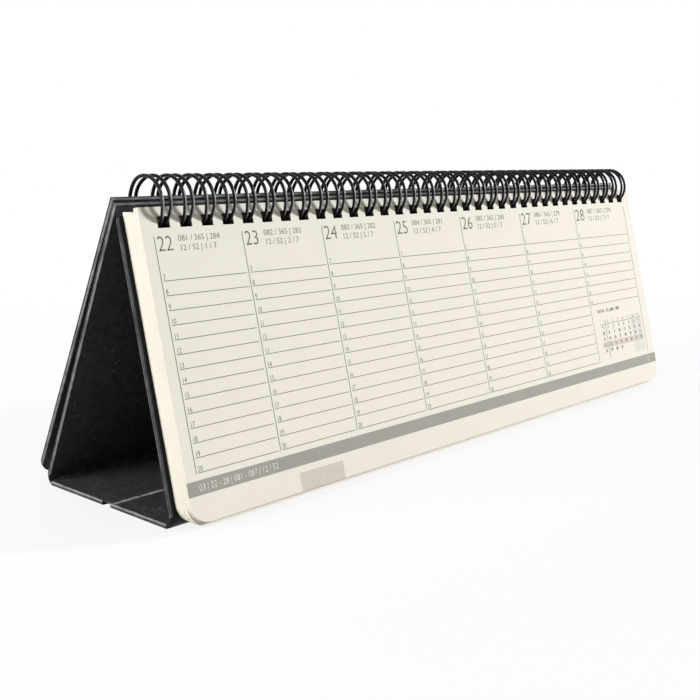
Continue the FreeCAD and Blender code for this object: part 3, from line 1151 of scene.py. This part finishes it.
def closed_tube(name, rings, around):
    """Grid of rings along X whose far rows meet, with its two ends filled.

    Around has the number of rows of a section, and gives the section's point at an X and a row.
    """
    same_place = 0.000001
    bpy.ops.object.select_all(action="DESELECT")
    rows = around.rows
    bpy.ops.mesh.primitive_grid_add(x_subdivisions=len(rings) - 1, y_subdivisions=rows, size=1.0)
    obj = bpy.context.object
    obj.name = name
    obj.data.name = name
    for vertex in obj.data.vertices:
        ring = rings[round((vertex.co.x + 0.5) * (len(rings) - 1))]
        row = round((vertex.co.y + 0.5) * rows) % rows
        vertex.co = around.point(ring, row)
    merge_doubles(obj, same_place)
    along = [vertex.co.x for vertex in obj.data.vertices]
    for end in (min(along), max(along)):
        bpy.ops.object.mode_set(mode="EDIT")
        bpy.ops.mesh.select_all(action="DESELECT")
        bpy.ops.object.mode_set(mode="OBJECT")
        for vertex in obj.data.vertices:
            vertex.select = abs(vertex.co.x - end) < same_place
        for edge in obj.data.edges:
            edge.select = all(obj.data.vertices[index].select for index in edge.vertices)
        bpy.ops.object.mode_set(mode="EDIT")
        bpy.ops.mesh.edge_face_add()
        bpy.ops.object.mode_set(mode="OBJECT")
    edit_all(obj, bpy.ops.mesh.normals_make_consistent, inside=False)
    bpy.ops.object.shade_smooth_by_angle(angle=math.radians(40))
    return obj


class FoldSection:
    """Section of a fold: an outer bow and an inner bow, rounded off towards the ends of the case."""

    def __init__(self, outer, inner, settings, half, seed):
        self.outer = outer
        self.inner = inner
        self.settings = settings
        self.half = half
        self.seed = seed
        self.side_rows = settings.rows
        self.rows = 2 * settings.rows

    def point(self, x, row):
        """Point of the section at X; rows run along the outer bow and back along the inner one."""
        last = self.side_rows - 1
        back = row > last
        share = (self.rows - 1 - row) / last if back else row / last
        bow = self.inner if back else self.outer
        flat = bow_point(bow, share)
        wrinkle = pattern.noise(Vector((x * 70, share * 3, self.seed)))
        wrinkle += 0.5 * pattern.noise(Vector((x * 310, share * 5, self.seed + 9)))
        flat = flat + bow["away"] * (wrinkle * self.settings.wrinkle * math.sin(math.pi * share))
        middle = (bow_point(self.outer, share) + bow_point(self.inner, share)) / 2
        depth = max(0.0, abs(x) - self.half + self.settings.end_round) / self.settings.end_round
        flat = middle + (flat - middle) * (0.35 + 0.65 * math.sqrt(max(0.0, 1 - depth * depth)))
        return Vector((x, flat.y, flat.z))


def fold_rings(half, settings):
    """X of the rings of a fold: even along it, closer where its ends are rounded."""
    inner = half - settings.end_round
    count = settings.rings
    rings = [-inner + 2 * inner * index / count for index in range(count + 1)]
    rounding = [inner + settings.end_round * share for share in (0.4, 0.7, 0.9, 1.0)]
    return [-x for x in reversed(rounding)] + rings + rounding


def dress_fold(obj, is_outer):
    """Leatherette on a fold's outer faces and lining on its inner ones."""
    obj.data.materials.clear()
    obj.data.materials.append(material_named("leatherette_skin"))
    obj.data.materials.append(material_named("black_lining"))
    for face in obj.data.polygons:
        face.material_index = 0 if is_outer(face) else 1


class DIARY_OT_corner_skins(bpy.types.Operator):
    """Wrap the two lower corners of the easel in skin"""

    bl_idname = "diary.corner_skins"
    bl_label = "Corner skins"

    def execute(self, context):
        settings = context.scene.diary.folds
        corners = (
            ("front", "front_panel", "front_base", -1, "easel_front", "base_front"),
            ("rear", "rear_panel", "rear_base", 1, "easel_rear", "base_rear"),
        )
        for seed, (place, panel, base, side, panel_body, base_body) in enumerate(corners):
            toe, foot, toe_inner, foot_inner, corner = corner_ends(panel, base, side)
            chord = foot - toe
            away = Vector((0, chord.z * side, -chord.y * side)).normalized()
            outer = {"begin": toe, "end": foot, "away": away, "bulge": settings.corner_bulge}
            inner = {"begin": toe_inner, "end": foot_inner, "away": away, "corner": corner}
            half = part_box(base + "_leatherette")[1].x - settings.end_inset
            section = FoldSection(outer, inner, settings, half, seed * 5.0)
            skin = closed_tube(place + "_corner_skin", fold_rings(half, settings), section)
            dress_fold(skin, lambda face: face.normal.dot(away) > 0 or abs(face.normal.x) > 0.3)
            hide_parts(place + "_corner_hinge")
            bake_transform(skin)
        return {"FINISHED"}


class DIARY_OT_crease_skin(bpy.types.Operator):
    """Lay a skin over the crease between the base panels"""

    bl_idname = "diary.crease_skin"
    bl_label = "Crease skin"

    def execute(self, context):
        settings = context.scene.diary.folds
        low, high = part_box("base_crease_hinge")
        _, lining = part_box("front_base_lining")
        front = Vector((0, low.y, 0))
        back = Vector((0, high.y, 0))
        up = Vector((0, 0, 1))
        top = lining.z
        outer, inner = (
            {"begin": front + up * z, "end": back + up * z, "away": -up, "bulge": settings.crease_sag}
            for z in (low.z, top)
        )
        half = high.x
        section = FoldSection(outer, inner, settings, half, 21.0)
        skin = closed_tube("crease_skin", fold_rings(half, settings), section)
        dress_fold(skin, lambda face: face.normal.z < 0.3)
        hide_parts("base_crease_hinge")
        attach(skin, "base_front")
        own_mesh(skin)
        return {"FINISHED"}


# Stage

# Name, place, side and power of each lamp
LAMPS = (
    ("key_light", (3.30, -1.96, 1.21), 0.50, 206.0),
    ("side_light", (-1.00, 0.25, 0.22), 0.60, 13.0),
    ("top_light", (0.00, 0.25, 1.10), 0.90, 1.8),
    ("back_light", (0.40, 1.30, 0.70), 0.90, 7.0),
)

# Strength of the surroundings as a light, and the floor's white share beside the object
ROOM_LIGHT = 0.14
WHITE_SHARE = 0.85


def seen_rays(tree):
    """1 for camera, glossy and transmission rays, 0 for the rest."""
    paths = tree.nodes.new("ShaderNodeLightPath").outputs
    seen = math_node(tree, "MAXIMUM", paths["Is Camera Ray"], paths["Is Glossy Ray"])
    return math_node(tree, "MAXIMUM", seen, paths["Is Transmission Ray"])


def mixed_shader(tree, share, first, second):
    """Shader between two shaders."""
    node = tree.nodes.new("ShaderNodeMixShader")
    for socket, value in zip(node.inputs, (share, first, second)):
        tree.links.new(value, socket)
    return node.outputs["Shader"]


def floor_material(stage):
    """Pale floor that reads white to the camera and keeps the shadow.

    Close to the object the white share is clear instead, so a corner that dips under the floor when
    the case folds stays in sight.
    """
    clear_border = 0.03
    material = bpy.data.materials.new("pale_floor")
    material.use_nodes = True
    tree = material.node_tree
    tree.nodes.clear()
    diffuse = tree.nodes.new("ShaderNodeBsdfDiffuse")
    where = tree.nodes.new("ShaderNodeTexCoord").outputs["Object"]
    cloud = noise(tree, where, 3.0, 2.0)
    lit = mix_colours(tree, cloud, shaded(stage.floor, 0.98), stage.floor)
    glow = tree.nodes.new("ShaderNodeEmission")
    glow.inputs["Color"].default_value = (1.0, 1.0, 1.0, 1.0)
    seen = seen_rays(tree)
    tree.links.new(mix_colours(tree, seen, shaded(stage.floor, 0.65), lit), diffuse.inputs["Color"])
    distance = tree.nodes.new("ShaderNodeVectorMath")
    distance.operation = "LENGTH"
    tree.links.new(where, distance.inputs[0])
    away = ramp(tree, distance.outputs["Value"], 0.18, 0.55)
    white_share = math_node(tree, "MULTIPLY_ADD", away, 1 - WHITE_SHARE, WHITE_SHARE)
    share = math_node(tree, "MULTIPLY", seen, white_share)
    low, high = CAD_BOX
    middle = (low + high) / 2
    reach = (high - low) / 2 + Vector((clear_border, clear_border, 0))
    place = split_vector(tree, where)
    close = [math_node(tree, "COMPARE", place[axis], middle[axis], reach[axis]) for axis in (0, 1)]
    clear = tree.nodes.new("ShaderNodeBsdfTransparent")
    white = mixed_shader(
        tree, math_node(tree, "MULTIPLY", *close), glow.outputs["Emission"], clear.outputs["BSDF"]
    )
    out = tree.nodes.new("ShaderNodeOutputMaterial")
    tree.links.new(mixed_shader(tree, share, diffuse.outputs["BSDF"], white), out.inputs["Surface"])
    return material


def white_world():
    """White surroundings for the camera and for reflections, softer light for the rest."""
    world = bpy.data.worlds.new("white_room")
    bpy.context.scene.world = world
    world.use_nodes = True
    tree = world.node_tree
    back = tree.nodes["Background"]
    back.inputs["Color"].default_value = (1.0, 1.0, 1.0, 1.0)
    seen = seen_rays(tree)
    tree.links.new(math_node(tree, "MULTIPLY_ADD", seen, 1 - ROOM_LIGHT, ROOM_LIGHT), back.inputs["Strength"])


def soft_light(name, place, target, size, power):
    """Square area light aimed at a point."""
    data = bpy.data.lights.new(name, "AREA")
    data.size = size
    data.energy = power
    obj = bpy.data.objects.new(name, data)
    obj.location = place
    obj.rotation_euler = (Vector(target) - Vector(place)).to_track_quat("-Z", "Y").to_euler()
    bpy.context.scene.collection.objects.link(obj)


class DIARY_OT_stage(bpy.types.Operator):
    """Set the floor, the lights and the camera"""

    bl_idname = "diary.stage"
    bl_label = "Stage"

    def execute(self, context):
        stage = context.scene.diary.stage
        bpy.ops.object.select_all(action="DESELECT")
        bpy.ops.mesh.primitive_plane_add(size=stage.floor_size, location=(0, 0, 0))
        floor = context.object
        floor.name = "floor"
        wear_material(floor, floor_material(stage))
        white_world()
        middle = (CAD_BOX[0] + CAD_BOX[1]) / 2
        for name, place, size, power in LAMPS:
            soft_light(name, place, middle, size, power)
        data = bpy.data.cameras.new("camera")
        data.sensor_width = 36.0
        data.lens = stage.lens
        camera = bpy.data.objects.new("camera", data)
        camera.location = stage.camera_place
        camera.rotation_euler = (math.pi / 2 + stage.camera_pitch, 0, -stage.camera_yaw)
        context.scene.collection.objects.link(camera)
        context.scene.camera = camera
        context.scene.view_settings.view_transform = "Standard"
        return {"FINISHED"}


class DIARY_PT_panel(bpy.types.Panel):
    """Lists the diary's settings and steps"""

    bl_idname = "DIARY_PT_panel"
    bl_label = "Desk diary"
    bl_space_type = "VIEW_3D"
    bl_region_type = "UI"
    bl_category = "Diary"

    def draw(self, context):
        settings = context.scene.diary
        for name in settings.__annotations__:
            group = getattr(settings, name)
            box = self.layout.box()
            for setting in group.__annotations__:
                box.prop(group, setting)
        for operator in OPERATORS:
            self.layout.operator(operator.bl_idname)


OPERATORS = (
    DIARY_OT_sheet_block,
    DIARY_OT_week_rules,
    DIARY_OT_week_figures,
    DIARY_OT_week_band,
    DIARY_OT_month_table,
    DIARY_OT_case_finish,
    DIARY_OT_binding_wire,
    DIARY_OT_corner_skins,
    DIARY_OT_crease_skin,
    DIARY_OT_stage,
)
CLASSES = (
    DiarySheetSettings,
    DiaryPrintSettings,
    DiaryFoldSettings,
    DiaryWireSettings,
    DiaryFinishSettings,
    DiaryStageSettings,
    DiarySettings,
    *OPERATORS,
    DIARY_PT_panel,
)


def register():
    for kind in CLASSES:
        bpy.utils.register_class(kind)
    bpy.types.Scene.diary = PointerProperty(type=DiarySettings)


def unregister():
    del bpy.types.Scene.diary
    for kind in reversed(CLASSES):
        bpy.utils.unregister_class(kind)


def main():
    register()
    bpy.ops.diary.sheet_block()
    for page in WEEKS:
        bpy.ops.diary.week_rules(page=page)
        bpy.ops.diary.week_figures(page=page)
        bpy.ops.diary.week_band(page=page)
        bpy.ops.diary.month_table(page=page)
    bpy.ops.diary.case_finish()
    bpy.ops.diary.binding_wire()
    bpy.ops.diary.corner_skins()
    bpy.ops.diary.crease_skin()
    bpy.ops.diary.stage()


if __name__ == "__main__":
    main()
